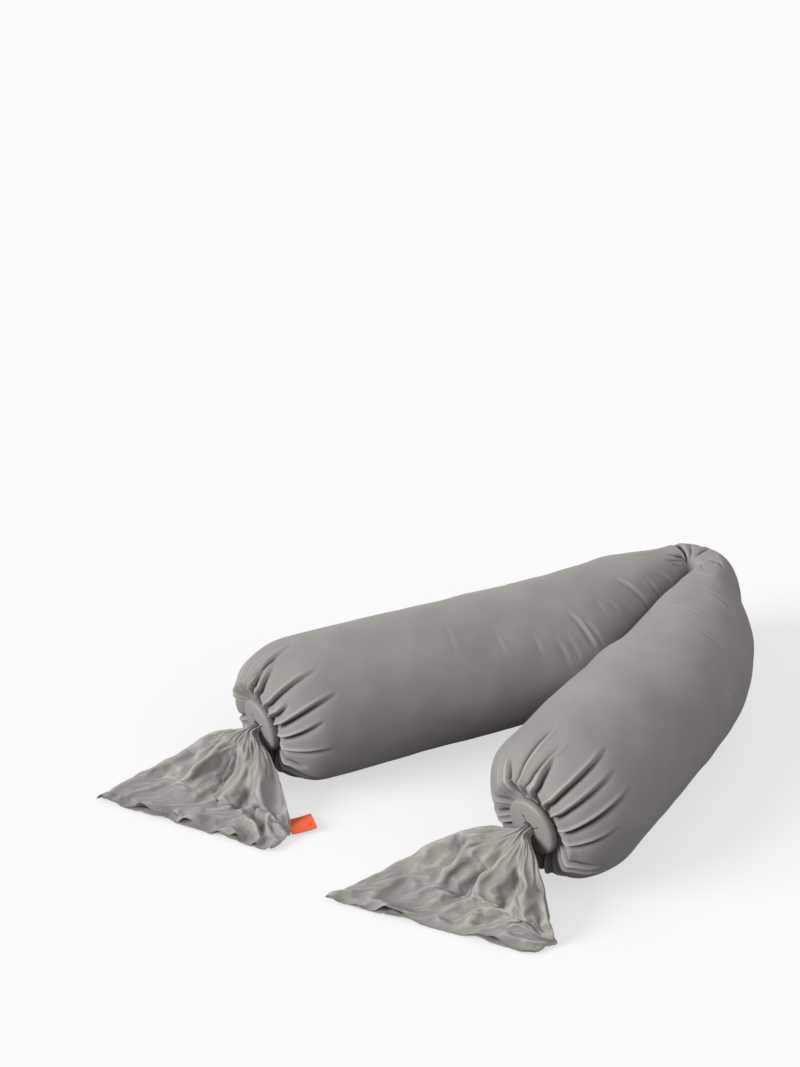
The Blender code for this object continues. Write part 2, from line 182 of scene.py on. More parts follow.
class Arm:
    """One arm's line on the table, its widths and its gathered end."""

    def __init__(self, side):
        left = side == "left"
        self.side = side
        self.body = f"{side}_arm"
        self.end_body = f"{side}_end"
        self.heading = LEFT_HEADING if left else RIGHT_HEADING
        self.length = ARM_LENGTH[side]
        self.turn = 0.0 if left else RIGHT_BEND
        self.outward = -math.pi / 2 if left else math.pi / 2
        self.yaw = CAP_YAW[side]

    def heading_at(self, s):
        share = min(max((s - RIGHT_BEND_START) / RIGHT_BEND_LENGTH, 0.0), 1.0)
        return self.heading + self.turn * share

    def point_at(self, s):
        first = min(s, RIGHT_BEND_START)
        arc = min(max(s - RIGHT_BEND_START, 0.0), RIGHT_BEND_LENGTH)
        last = max(s - RIGHT_BEND_START - RIGHT_BEND_LENGTH, 0.0)
        half = self.turn * arc / RIGHT_BEND_LENGTH / 2
        chord = arc * (math.sin(half) / half if half else 1.0)
        point = CREASE + heading_vector(self.heading) * first
        point = point + heading_vector(self.heading + half) * chord
        return point + heading_vector(self.heading_at(s)) * last

    def inner_extent(self, s):
        """Distance from the arm's line to its inner side, where the arms press together."""
        place = self.point_at(s) - CREASE
        inward = heading_vector(self.heading_at(s) - self.outward)
        contact = heading_vector(CONTACT_HEADING)
        reach = abs(cross_2d(place, contact) / cross_2d(inward, contact))
        if self.side == "right":
            other = heading_vector(LEFT_HEADING)
            apart = cross_2d(other, place) - HALF_WIDTH
            reach = max(reach, -apart / cross_2d(other, inward))
        clear = max(CONTACT_GAP, INNER_RADIUS * (1 - s / CREASE_FADE))
        return min(HALF_WIDTH, reach - clear)

    def outer_extent(self, s):
        return FOLD_RADIUS + (HALF_WIDTH - FOLD_RADIUS) * smooth(s / FOLD_TAPER)

    def section(self, s):
        inner = self.inner_extent(s)
        outer = self.outer_extent(s)
        across = heading_vector(self.heading_at(s) + self.outward)
        size = FOLD_HEIGHT / PILLOW_HEIGHT
        size += (1 - size) * smooth(s / FOLD_TAPER)
        centre = self.point_at(s) + across * (outer - inner) / 2 + UP * AXIS_HEIGHT * size
        pressed = 1 - max(inner, 0.0) / HALF_WIDTH
        return Section(centre, across, UP, (inner + outer) / 2, size, pressed)

    def end_frame(self, share=1.0):
        """Axis, across and up directions at a share of the way round into the end."""
        turned = smooth(share)
        heading = self.heading_at(self.length) + self.yaw * turned
        lean = CAP_LEAN * turned
        level = heading_vector(heading)
        axis = level * math.cos(lean) + UP * math.sin(lean)
        upward = UP * math.cos(lean) - level * math.sin(lean)
        return axis, heading_vector(heading + self.outward), upward

    def cap_point(self, share):
        steps = 8
        point = self.point_at(self.length) + UP * AXIS_HEIGHT
        for i in range(steps):
            axis, _, _ = self.end_frame(share * (i + 0.5) / steps)
            point = point + axis * (share * CAP_DEPTH / steps)
        return point

    def cap_section(self, share):
        size = (1 - share**CAP_POWER) ** (1 / CAP_POWER)
        _, across, upward = self.end_frame(share)
        return Section(self.cap_point(share), across, upward, HALF_WIDTH * size, size)

    def seat(self):
        """Middle of the dimple's floor, which the tie disc sits against."""
        axis, _, _ = self.end_frame()
        return self.cap_point(1.0) - axis * DIMPLE_DEPTH

    def disc_ring(self, ahead, radius, turns):
        """Round ring of cloth, a distance ahead of the dimple's floor."""
        axis, across, upward = self.end_frame()
        round_the_axis = np.outer(np.cos(turns), across) + np.outer(np.sin(turns), upward)
        return self.seat() + axis * ahead + round_the_axis * radius


ARMS = {side: Arm(side) for side in ("left", "right")}
TURNS = np.linspace(0, 2 * math.pi, AROUND, endpoint=False)


# ---------------------------------------------------------------- the skin as one grid


def smooth_rows(rows, step):
    """Rows at an even spacing on a smooth curve through the given rows of points."""
    rows = np.array(rows)
    gaps = np.linalg.norm(np.diff(rows, axis=0), axis=2).mean(axis=1)
    knots = np.concatenate([[0.0], np.cumsum(gaps)])
    slopes = np.gradient(rows, knots, axis=0)
    count = max(int(round(knots[-1] / step)), 2)
    out = []
    for at in np.linspace(0, knots[-1], count + 1):
        i = min(int(np.searchsorted(knots, at, side="right")) - 1, len(gaps) - 1)
        span = gaps[i]
        t = (at - knots[i]) / span
        first = (2 * t**3 - 3 * t**2 + 1) * rows[i] + (t**3 - 2 * t**2 + t) * span * slopes[i]
        last = (3 * t**2 - 2 * t**3) * rows[i + 1] + (t**3 - t**2) * span * slopes[i + 1]
        out.append(first + last)
    return np.array(out)


def cap_rows(arm):
    """Rows from the arm's shoulder over the rounded end and under the tie disc."""
    rows = [arm.section(arm.length - back).ring(TURNS) for back in (SHOULDER, SHOULDER / 2)]
    rows += [arm.cap_section(share).ring(TURNS) for share in CAP_SHARES]
    rows += [arm.disc_ring(ahead, radius, TURNS) for ahead, radius in LIP_RINGS + UNDER_RINGS]
    return smooth_rows(rows, CAP_STEP)[1:]


def arm_rows(arm):
    start = ARM_STEP
    end = arm.length - SHOULDER
    count = int((end - start) / ARM_STEP)
    rows = np.array([arm.section(s).ring(TURNS) for s in np.linspace(start, end, count)])
    for _ in range(ARM_SMOOTHING):
        rows[1:-1] = (rows[:-2] + 2 * rows[1:-1] + rows[2:]) / 4
    return rows


def fold_rows():
    rows = []
    middle = (INNER_RADIUS + FOLD_RADIUS) / 2
    size = FOLD_HEIGHT / PILLOW_HEIGHT
    for angle in np.linspace(FOLD_START, FOLD_END, FOLD_STEPS + 1):
        across = heading_vector(angle)
        centre = CREASE + across * middle + UP * AXIS_HEIGHT * size
        half_width = (FOLD_RADIUS - INNER_RADIUS) / 2
        rows.append(Section(centre, across, UP, half_width, size, 1.0).ring(TURNS))
    return np.array(rows)


def row_normals(points):
    """Unit directions square to the cloth, one for each point of a closed grid."""
    ahead = np.gradient(points, axis=0)
    around = np.roll(points, -1, axis=1) - np.roll(points, 1, axis=1)
    normals = np.cross(around, ahead)
    return normals / np.maximum(np.linalg.norm(normals, axis=2, keepdims=True), 1e-12)


class Skin:
    """The cover as rows of points, with where each row lies along the cloth."""

    def __init__(self):
        caps = {side: cap_rows(arm) for side, arm in ARMS.items()}
        arms = {side: arm_rows(arm) for side, arm in ARMS.items()}
        parts = [caps["left"][::-1], arms["left"][::-1], fold_rows(), arms["right"], caps["right"]]
        self.starts = np.concatenate([[0], np.cumsum([len(part) for part in parts])])
        self.points = np.concatenate(parts)
        gaps = np.linalg.norm(np.diff(self.points, axis=0), axis=2)
        top = AROUND // 4
        self.along = np.concatenate([[0.0], np.cumsum(gaps[:, top])])
        self.along -= self.along[(self.starts[2] + self.starts[3]) // 2]
        mean = np.concatenate([[0.0], np.cumsum(gaps.mean(axis=1))])
        self.from_left = mean
        self.from_right = mean[-1] - mean

    def normals(self):
        normals = row_normals(self.points)
        outward = self.points - self.points.mean(axis=1, keepdims=True)
        return -normals if (normals * outward).sum() < 0 else normals

    def radii(self):
        return np.linalg.norm(self.points - self.points.mean(axis=1, keepdims=True), axis=2)


# ---------------------------------------------------------------- folds and wrinkles

# Deep folds round each tie disc: turn round the disc in degrees, length and depth in
# millimetres, and how far the fold leans over its length in degrees.
GATHERS = {
    "left": (
        (8, 60, 5, 6), (28, 74, 5, -8), (47, 70, 6, 10), (63, 92, 5, 14), (78, 66, 7, 10),
        (92, 88, 6, -10), (108, 60, 7, -14), (124, 96, 6, -8), (139, 48, 8, -6), (152, 108, 8, -14),
        (168, 84, 7, -12), (183, 92, 7, -4), (199, 52, 8, 4), (213, 84, 6, 12), (231, 62, 6, 10),
        (252, 54, 5, 8), (274, 50, 5, 0), (297, 56, 5, -6), (321, 62, 5, 8), (343, 56, 5, -4),
    ),
    "right": (
        (6, 70, 7, 8), (24, 98, 8, 10), (44, 92, 7, 6), (60, 104, 8, 4), (79, 66, 8, 8),
        (95, 84, 6, -6), (108, 104, 8, -4), (121, 52, 7, 6), (137, 74, 6, -8), (153, 60, 5, -10),
        (170, 46, 5, 6), (191, 52, 5, 8), (212, 50, 5, -6), (236, 48, 5, 6), (262, 56, 6, -8),
        (284, 64, 6, 8), (303, 60, 7, 6), (322, 82, 8, 8), (345, 58, 7, -6),
    ),
}
RIM_AWAY = 0.031  # cloth from the neck out to the disc's rim
GATHER_STEEP = 0.0009
GATHER_GENTLE = 0.0024
FOLD_DEPTH = 1.5
GATHER_LENGTH = 1.12
RIM_PLEATS = 34
RIM_PLEAT_DEPTH = 0.0009
RIM_PLEAT_FADE = 0.012

# Drag wrinkles: distance from the fold, turn in degrees, length, slant and depth. The
# first is along the tube, left arm negative; lengths and depths are in millimetres.
WRINKLES = (
    (-0.072, 120, 52, 0.50, 1.2), (-0.085, 130, 60, 0.45, 1.0), (-0.098, 138, 74, 0.42, 1.3),
    (-0.113, 126, 58, 0.40, 0.9), (-0.131, 140, 80, 0.40, 1.4), (-0.147, 132, 52, 0.38, 1.0),
    (-0.160, 145, 66, 0.40, 1.2), (-0.176, 124, 88, 0.42, 1.4), (-0.190, 146, 44, 0.36, 0.8),
    (-0.215, 134, 40, 0.36, 0.7), (-0.238, 126, 36, 0.30, 0.5), (-0.262, 146, 70, 0.36, 1.2),
    (-0.278, 140, 92, 0.34, 1.5), (-0.300, 150, 50, 0.30, 0.8), (-0.318, 152, 54, 0.26, 1.0),
    (-0.352, 142, 40, 0.20, 0.6), (-0.405, 130, 50, 0.10, 0.4), (-0.470, 118, 60, -0.08, 0.4),
    (0.074, 104, 60, -0.50, 1.0), (0.092, 92, 82, -0.46, 1.1), (0.116, 84, 92, -0.40, 0.9),
    (0.140, 92, 66, -0.36, 0.8), (0.168, 72, 60, -0.34, 0.6), (0.204, 98, 84, -0.26, 0.8),
    (0.222, 90, 50, -0.22, 0.5), (0.262, 70, 70, -0.12, 0.5), (0.340, 96, 80, 0.10, 0.5),
    (-0.080, 60, 70, -0.30, 0.4), (0.086, 50, 64, 0.34, 0.3), (-0.200, 40, 60, -0.20, 0.7),
    (-0.330, 52, 70, -0.10, 0.6), (0.180, 30, 60, 0.20, 0.7), (0.300, 24, 70, 0.14, 0.6),
)
WRINKLE_WIDTH = 0.0030
WRINKLE_DEPTH = 1.5
WRINKLE_RIDGE = 0.6
# Puckers where the cloth is squeezed at the inner crease: distance along and turn.
PUCKERS = (
    (-0.036, 100, 176, 0.10, 5.4), (-0.052, 112, 96, 0.50, 3.0), (-0.018, 100, 84, 0.10, 1.6),
    (0.004, 96, 96, -0.06, 2.2), (0.024, 104, 60, -0.30, 1.4), (0.042, 98, 96, -0.50, 2.4),
    (0.060, 108, 56, -0.80, 1.6), (-0.070, 112, 60, 0.80, 2.0), (-0.008, 72, 60, 0.1, 1.2),
)
PUCKER_WIDTH = 0.0034
PUCKER_RIDGE = 0.12
LINE_SHADE = 1.6  # how strongly a wrinkle is shaded, next to a gather of the same depth
LUMP_SIZE = 0.085
LUMP_HEIGHT = 0.0022


def cusp(distance, steep, gentle):
    """1 at a fold's line, falling fast on one side and slowly on the other."""
    width = np.where(distance > 0, steep, gentle)
    rounded = np.sqrt(distance**2 + 0.0004**2) - 0.0004
    return np.exp(-rounded / width)


def turn_gap(turns, at):
    return (turns - at + math.pi) % (2 * math.pi) - math.pi


def gathered(side, away, radii):
    """Height of the radial folds round one tie disc."""
    height = np.zeros_like(radii)
    rows = away < 0.20
    g = away[rows][:, None] - RIM_AWAY
    r = radii[rows]
    turns = TURNS[None, :]
    field = np.zeros_like(r)
    for degrees, length, depth, lean in GATHERS[side]:
        share = np.maximum(g, 0) / (length * 0.001 * GATHER_LENGTH)
        at = math.radians(degrees) + math.radians(lean) * share
        across = turn_gap(turns, at) * r
        widen = 1 + 0.7 * share
        side_sign = 1 if lean >= 0 else -1
        fold = cusp(across * side_sign, GATHER_STEEP * widen, GATHER_GENTLE * widen)
        ridge = np.exp(-(((across * side_sign - 0.0030 * widen) / (0.0019 * widen)) ** 2))
        fade = np.clip(1 - share**2.4, 0, 1) * (0.7 + 0.3 * smooth(g / 0.012))
        field += FOLD_DEPTH * depth * 0.001 * fade * (0.30 * ridge - fold)
    uneven = 0.8 * np.sin(3 * turns) + 0.5 * np.sin(7 * turns)
    lobes = np.abs(np.sin(turns * RIM_PLEATS / 2 + uneven))
    field += RIM_PLEAT_DEPTH * (lobes - 0.6) * np.exp(-np.maximum(g, 0) / RIM_PLEAT_FADE)
    field *= smooth((g + 0.012) / 0.012)
    height[rows] = field
    return height


def line_wrinkle(skin, place, degrees, length, slant, depth, width, ridge_share):
    """A narrow valley with a soft ridge beside it, round part of the tube."""
    arc = turn_gap(TURNS, math.radians(degrees))[None, :] * HALF_WIDTH
    beside = skin.along[:, None] - place - slant * arc
    half = length * 0.0005
    reach = np.clip(1 - (arc / half) ** 2, 0, 1) ** 1.5
    valley = np.exp(-((beside / width) ** 2))
    ridge = np.exp(-(((beside - 1.9 * width) / (1.4 * width)) ** 2))
    return WRINKLE_DEPTH * depth * 0.001 * reach * (ridge_share * ridge - valley)


def lumps(skin):
    """Soft unevenness of the bead filling."""
    flat = skin.points.reshape(-1, 3) / LUMP_SIZE
    values = [noise.noise(Vector(p)) + 0.5 * noise.noise(Vector(p * 2.3)) for p in flat]
    return np.array(values).reshape(skin.points.shape[:2]) * LUMP_HEIGHT


def shape_skin():
    skin = Skin()
    radii = skin.radii()
    lines = np.zeros(radii.shape)
    for values in WRINKLES:
        lines += line_wrinkle(skin, *values, WRINKLE_WIDTH, WRINKLE_RIDGE)
    for values in PUCKERS:
        lines += line_wrinkle(skin, *values, PUCKER_WIDTH, PUCKER_RIDGE)
    height = lumps(skin) + lines
    lying = np.exp(-np.maximum(skin.points[:, :, 2], 0) / 0.006)
    pressed = (np.cos(TURNS)[None, :] < 0) * smooth(1 - np.abs(skin.along[:, None]) / 0.24)
    side_on = np.abs(np.sin(TURNS))[None, :] < 0.75
    height = height * (1 - lying) * (1 - 0.9 * pressed * side_on)
    height *= smooth(np.minimum(skin.from_left, skin.from_right) / 0.03)[:, None]
    folds = gathered("left", skin.from_left, radii)
    folds += gathered("right", skin.from_right, radii)
    height += folds * (1 - lying)
    normals = skin.normals()
    skin.points = skin.points + normals * height[:, :, None]
    skin.points[:, :, 2] = np.maximum(skin.points[:, :, 2], 0.0004)
    # fold heights for the cloth colour: painted shade in the valleys, painted highlight on the ridges
    skin.depth = folds + LINE_SHADE * lines
    return skin


# ---------------------------------------------------------------- meshes


def grid_mesh(name, points, uv, closed=True, normals=None, values=None):
    """A mesh from rows of points; each row closes on itself when asked."""
    rows, around = points.shape[:2]
    mesh = bpy.data.meshes.new(name)
    quads = []
    last = around if closed else around - 1
    for i in range(rows - 1):
        for j in range(last):
            k = (j + 1) % around
            quads.append((i * around + j, i * around + k, (i + 1) * around + k, (i + 1) * around + j))
    mesh.from_pydata(points.reshape(-1, 3).tolist(), [], quads)
    layer = mesh.uv_layers.new(name="Cloth")
    flat = []
    for i in range(rows - 1):
        for j in range(last):
            flat += [uv[i][j], uv[i][j + 1], uv[i + 1][j + 1], uv[i + 1][j]]
    layer.data.foreach_set("uv", np.array(flat, float).ravel())
    if values is not None:
        # heights that the material turns into painted shade in valleys and painted highlight on
        # ridges
        crease = mesh.attributes.new("Crease", "FLOAT", "POINT")
        crease.data.foreach_set("value", values.ravel().astype(np.float32))
    mesh.update()
    mesh.shade_smooth()
    if normals is not None:
        mesh.normals_split_custom_set_from_vertices(normals.reshape(-1, 3).tolist())
    return mesh


def cloth_uv(along, around=AROUND, width=CLOTH_ROUND):
    """Metres along and round the cloth, one column more than the points."""
    u = np.linspace(0, width, around + 1)
    return np.stack(np.broadcast_arrays(u[None, :], np.asarray(along)[:, None]), axis=2)


def add_piece(name, mesh, material):
    piece = bpy.data.objects.new(name, mesh)
    piece.data.materials.append(material)
    bpy.context.scene.collection.objects.link(piece)
    return piece


def to_vector(point):
    return Vector([float(x) for x in point])


def square_mesh(name, half):
    mesh = bpy.data.meshes.new(name)
    corners = [(-half, -half, 0), (half, -half, 0), (half, half, 0), (-half, half, 0)]
    mesh.from_pydata(corners, [], [(0, 1, 2, 3)])
    return mesh


# ---------------------------------------------------------------- the filled cover


def row_pieces(skin):
    """Name, first row and last row of each piece of the cover, from left to right."""
    starts = skin.starts
    margin = int(FOLD_MARGIN / ARM_STEP)
    shoulder = 4
    cuts = [0, int(starts[1]) + shoulder, int(starts[2]) - margin]
    step = FOLD_STEPS // BEND_COUNT
    for i in range(BEND_COUNT):
        cuts.append(int(starts[2]) + step // 2 + i * step)
    cuts += [int(starts[3]) + margin, int(starts[4]) - shoulder, len(skin.points) - 1]
    names = ["cover_end_left", "cover_arm_left"]
    names += [f"cover_fold_{i + 1}" for i in range(BEND_COUNT + 1)]
    names += ["cover_arm_right", "cover_end_right"]
    return list(zip(names, cuts, cuts[1:]))


def build_cover(skin, material):
    normals = skin.normals()
    uv = cloth_uv(skin.along)
    pieces = {}
    for name, first, last in row_pieces(skin):
        rows = slice(first, last + 1)
        mesh = grid_mesh(
            name, skin.points[rows], uv[rows], normals=normals[rows], values=skin.depth[rows]
        )
        piece = add_piece(name, mesh, material)
        pieces[name] = piece
    for side, arm in ARMS.items():
        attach(pieces[f"cover_arm_{side}"], arm.body)
        layers = [f"{layer}_{side}_arm" for layer in ("cover", "liner", "beads")]
        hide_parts(*layers)
        axis, _, _ = arm.end_frame()
        seat = arm.seat()
        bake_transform(pieces[f"cover_end_{side}"])
    for i in range(BEND_COUNT + 1):
        piece = pieces[f"cover_fold_{i + 1}"]
        if i < BEND_COUNT:
            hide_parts(*[f"{layer}_bend_{i + 1}" for layer in ("cover", "liner", "beads")])
        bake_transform(piece)


# ---------------------------------------------------------------- tie discs

SLIT_REACH = 0.0165
SLIT_WIDTH = 0.0018
SLIT_END_RADIUS = 0.0021
SLIT_TURN = math.radians(32.0)
HOLE_RADIUS = 0.0092
DISC_CROWN = 0.0008
DISC_FRONT_EDGE = 0.0050


def disc_outline():
    """Half outline of the pebble-like disc, from back to front, as (ahead, radius)."""
    outline = [(0.0, 0.0), (0.0, DISC_RADIUS - DISC_EDGE)]
    for i in range(1, 7):
        turn = math.pi / 2 * i / 6
        height = DISC_EDGE * (1 - math.cos(turn))
        outline.append((height, DISC_RADIUS - DISC_EDGE * (1 - math.sin(turn))))
    shoulder = DISC_THICKNESS - DISC_EDGE - DISC_CROWN
    for i in range(7):
        turn = math.pi / 2 * i / 6
        radius = DISC_RADIUS - DISC_FRONT_EDGE * (1 - math.cos(turn))
        outline.append((shoulder + DISC_EDGE * math.sin(turn), radius))
    flat = DISC_RADIUS - DISC_FRONT_EDGE
    for share in (0.8, 0.5, 0.25):
        outline.append((DISC_THICKNESS - DISC_CROWN * share**2, flat * share))
    outline.append((DISC_THICKNESS, 0.0))
    return outline


def turned_mesh(outline, sides):
    """A closed turned body round +Z from (height, radius) points."""
    bm = bmesh.new()
    rings = []
    for height, radius in outline:
        if radius == 0.0:
            rings.append([bm.verts.new((0, 0, height))])
            continue
        turns = [2 * math.pi * i / sides for i in range(sides)]
        ring = [(radius * math.cos(t), radius * math.sin(t), height) for t in turns]
        rings.append([bm.verts.new(point) for point in ring])
    for lower, upper in zip(rings, rings[1:]):
        for i in range(sides):
            j = (i + 1) % sides
            if len(lower) == 1:
                bm.faces.new((lower[0], upper[j], upper[i]))
            elif len(upper) == 1:
                bm.faces.new((lower[i], lower[j], upper[0]))
            else:
                bm.faces.new((lower[i], lower[j], upper[j], upper[i]))
    bmesh.ops.recalc_face_normals(bm, faces=bm.faces)
    mesh = bpy.data.meshes.new("turned")
    bm.to_mesh(mesh)
    bm.free()
    return mesh


def slit_cutter():
    """The crossed slit with round ends and the hole that the cloth pulls open."""
    deep = DISC_THICKNESS * 3
    bm = bmesh.new()
    shapes = [(HOLE_RADIUS, (0, 0))]
    for i in range(4):
        turn = SLIT_TURN + i * math.pi / 2
        end = (SLIT_REACH * math.cos(turn), SLIT_REACH * math.sin(turn))
        shapes.append((SLIT_END_RADIUS, end))
    for radius, (x, y) in shapes:
        place = Matrix.Translation((x, y, 0))
        bmesh.ops.create_cone(
            bm, cap_ends=True, segments=28, radius1=radius, radius2=radius, depth=deep, matrix=place
        )
    for i in range(2):
        turned = Matrix.Rotation(SLIT_TURN + i * math.pi / 2, 4, "Z")
        sized = Matrix.Diagonal((SLIT_REACH * 2, SLIT_WIDTH, deep, 1))
        bmesh.ops.create_cube(bm, size=1, matrix=turned @ sized)
    mesh = bpy.data.meshes.new("slit_cutter")
    bm.to_mesh(mesh)
    bm.free()
    return bpy.data.objects.new("slit_cutter", mesh)


def apply_modifiers(piece):
    """Keep what the modifiers make and drop them."""
    graph = bpy.context.evaluated_depsgraph_get()
    made = bpy.data.meshes.new_from_object(piece.evaluated_get(graph), depsgraph=graph)
    piece.modifiers.clear()
    piece.data = made


def disc_matrix(arm):
    axis, across, upward = arm.end_frame()
    columns = Matrix([to_vector(v).to_4d() for v in (across, upward, axis)] + [Vector((0, 0, 0, 1))])
    for i in range(3):
        columns[i][3] = 0
    turned = columns.transposed()
    if turned.to_3x3().determinant() < 0:
        turned = turned @ Matrix.Diagonal((-1, 1, 1, 1))
    return Matrix.Translation(to_vector(arm.seat() + axis * LAYER_GAP)) @ turned


def build_disc(arm, material):
    name = f"silicone_tie_{arm.side}"
    piece = add_piece(name, turned_mesh(disc_outline(), 120), material)
    cutter = slit_cutter()
    bpy.context.scene.collection.objects.link(cutter)
    cut = piece.modifiers.new("Slit", "BOOLEAN")
    cut.operation = "DIFFERENCE"
    cut.object = cutter
    cut.use_self = True
    soften = piece.modifiers.new("Soft edges", "BEVEL")
    soften.width = 0.0005
    soften.segments = 2
    soften.limit_method = "ANGLE"
    soften.angle_limit = math.radians(55)
    bpy.context.view_layer.update()
    apply_modifiers(piece)
    bpy.data.objects.remove(cutter)
    piece.data.transform(disc_matrix(arm))
    piece.data.shade_smooth()
    piece.data.set_sharp_from_angle(angle=math.radians(48))
    if not piece.data.materials:
        piece.data.materials.append(material)
    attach(piece, arm.end_body)
    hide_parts(f"tie_disc_{arm.side}")


# ---------------------------------------------------------------- tails

TAIL_AROUND = 132
TAIL_ALONG = 44
TAIL_FRAMES = 26
TAIL_ROUND = 0.528  # twice the hem's flat width: the jersey isn't stretched here
TAIL_PLEATS = 3.4
TAIL_PLEAT = 0.0110
TAIL_BULGE = 0.018
TAIL_SPREAD = 0.64
FACET_SIZE = 0.050
FACET_HEIGHT = 0.0160
FACET_SEED = {"left": 3.3, "right": 8.1}
TAIL_HEM_HALF = 0.004
THROAT_SHARE = 0.12  # cloth inside the disc and up to its mouth
THROAT_RADIUS = 0.0082
THROAT_PLEAT = 0.0024
TABLE_CLEARANCE = 0.002
HEM_TURN_ROWS = (0, 1, 2, 3)  # rows in from the edge that the turned hem covers
HEM_THICKNESS = 0.0012
TAIL_SHADE = 0.8
TAIL_HELD = 0.15  # share of the rows that the disc holds
HEM_ROWS_HELD = 3
HEM_HOLD = 0.85
EDGE_HOLD = 0.6
CLOTH_HOLD = 0.04
THROAT_HOLD = 0.5
TAIL_SLACK = 0.03  # how much larger the cloth is than its drawn start
DRAPING_HALF = 2.0  # half the width of the table that the cloth drapes on
CLOTH_SETTINGS = {
    "quality": 5,
    "mass": 0.16,
    "tension_stiffness": 18,
    "compression_stiffness": 14,
    "shear_stiffness": 8,
    "bending_stiffness": 0.07,
    "tension_damping": 8,
    "compression_damping": 8,
    "shear_damping": 8,
    "bending_damping": 0.2,
    "air_damping": 2.0,
}
COLLISION_SETTINGS = {
    "use_collision": True,
    "distance_min": 0.0015,
    "collision_quality": 2,
    "use_self_collision": True,
    "self_distance_min": 0.0016,
}


def evenly_round(points, count):
    """The closed row again, as evenly spaced points."""
    closed = np.concatenate([points, points[:1]])
    lengths = np.concatenate([[0.0], np.cumsum(np.linalg.norm(np.diff(closed, axis=0), axis=1))])
    at = np.linspace(0, lengths[-1], count, endpoint=False)
    return np.stack([np.interp(at, lengths, closed[:, k]) for k in range(3)], axis=1)


class Tail:
    """Open end of the cover past the disc, as the parts place it."""

    def __init__(self, arm):
        axis, _, _ = arm.end_frame()
        nose = LAYER_GAP + DISC_THICKNESS + 2 * LAYER_GAP + NECK_RADIUS
        self.arm = arm
        self.side = arm.side
        self.axis = axis
        self.throat = arm.seat() + axis * (LAYER_GAP + DISC_THICKNESS * 0.45)
        self.mouth = arm.seat() + axis * nose
        self.azimuth = TAIL_AZIMUTH[arm.side]
        self.reach = TAIL_REACH[arm.side]

    def spine(self, share):
        """Middle of the tail and its across and up directions at a share of its reach."""
        forward = heading_vector(self.azimuth)
        drop = self.mouth[2] - HEM_HALF_THICKNESS
        left = max(1 - share / TAIL_DROP, 0.0)
        centre = self.mouth + forward * (self.reach * share)
        centre[2] = HEM_HALF_THICKNESS + drop * left**1.5
        slope = drop * 1.5 * left**0.5 / (TAIL_DROP * self.reach)
        tangent = unit(forward - UP * slope)
        square = self.azimuth + math.pi / 2 - 2 * math.pi
        across = heading_vector(square + (HEM_HEADING[self.side] - square) * float(smooth(share)))
        upward = unit(np.cross(across, tangent))
        return centre, across, upward if upward[2] > 0 else -upward

    def crumple(self, x, ahead):
        """Broad facets with sharp ridges between them."""
        out = []
        for value in x:
            along = ahead * self.reach / FACET_SIZE
            place = Vector((value / FACET_SIZE, along, FACET_SEED[self.side]))
            bend = noise.noise(place * 0.6) * 1.2
            place = place + Vector((bend, -bend, 0))
            broad = 0.45 - 2.2 * abs(noise.noise(place))
            out.append(broad + 0.22 * (0.4 - 2.2 * abs(noise.noise(place * 2.1))))
        return FACET_HEIGHT * np.array(out)

    def row(self, share):
        """A row of cloth: pleated and round at the throat, wide and flat at the hem."""
        turns = np.linspace(0, 2 * math.pi, TAIL_AROUND * 4, endpoint=False)
        ahead = max(share, 0.0)
        centre, across, upward = self.spine(ahead)
        if share < 0:
            centre = self.mouth + (self.mouth - self.throat) * share / THROAT_SHARE
        spread = math.sin(math.pi / 2 * min(ahead, 1.0) ** TAIL_SPREAD)
        half_width = THROAT_RADIUS + (TAIL_HALF_WIDTH - THROAT_RADIUS) * spread
        bulge = TAIL_BULGE * math.sin(math.pi * min(ahead, 1.0)) ** 0.8
        half_thick = max(TAIL_HEM_HALF, THROAT_RADIUS * (1 - ahead), bulge)
        rise = smooth(ahead / 0.25)
        fade = 1 - 0.9 * smooth((ahead - 0.35) / 0.5)
        depth = THROAT_PLEAT + (TAIL_PLEAT - THROAT_PLEAT) * rise * fade
        place = math.pi * TAIL_PLEATS * np.cos(turns) + 0.9 * np.sin(2 * turns)
        wave = np.sin(place + 0.4) + 0.4 * np.sin(2.3 * place + 1.7) * rise
        wave *= 0.35 + 0.65 * np.abs(np.sin(turns))
        normal = np.stack([np.cos(turns) * half_thick, np.sin(turns) * half_width])
        normal /= np.linalg.norm(normal, axis=0)
        x = half_width * np.cos(turns) + depth * wave * normal[0] * 0.5
        z = half_thick * np.sin(turns) + depth * wave * normal[1]
        points = centre + np.outer(x, across) + np.outer(z, upward)
        points += np.outer(self.crumple(x, ahead) * rise * (0.65 + 0.35 * np.sin(turns)), upward)
        floor = TABLE_CLEARANCE + 0.0015 * (1 + np.sin(turns))
        points[:, 2] = np.maximum(points[:, 2], floor)
        return evenly_round(points, TAIL_AROUND)


def hold_rows(held, first, last, weight):
    """Pin whole rows of the tail, as firmly as the weight says."""
    held.add(range(first * TAIL_AROUND, last * TAIL_AROUND), weight, "REPLACE")


def pin_tail(held):
    """Pins at the disc, along the side edges and at the hem, and a faint one between."""
    pinned = int(TAIL_ALONG * TAIL_HELD)
    hem = TAIL_ALONG - HEM_ROWS_HELD
    for i in range(pinned):
        hold_rows(held, i, i + 1, 1.0 if i < pinned - 3 else 1.0 - (i - pinned + 4) * 0.24)
    hold_rows(held, hem, TAIL_ALONG, HEM_HOLD)
    for i in range(pinned, hem):
        near = 1 - (i - pinned) / (TAIL_ALONG - pinned)
        hold_rows(held, i, i + 1, CLOTH_HOLD + THROAT_HOLD * near**4)
        for side in (0, TAIL_AROUND // 2):
            edge = [i * TAIL_AROUND + (side + k) % TAIL_AROUND for k in (-1, 0, 1)]
            held.add(edge, EDGE_HOLD, "REPLACE")


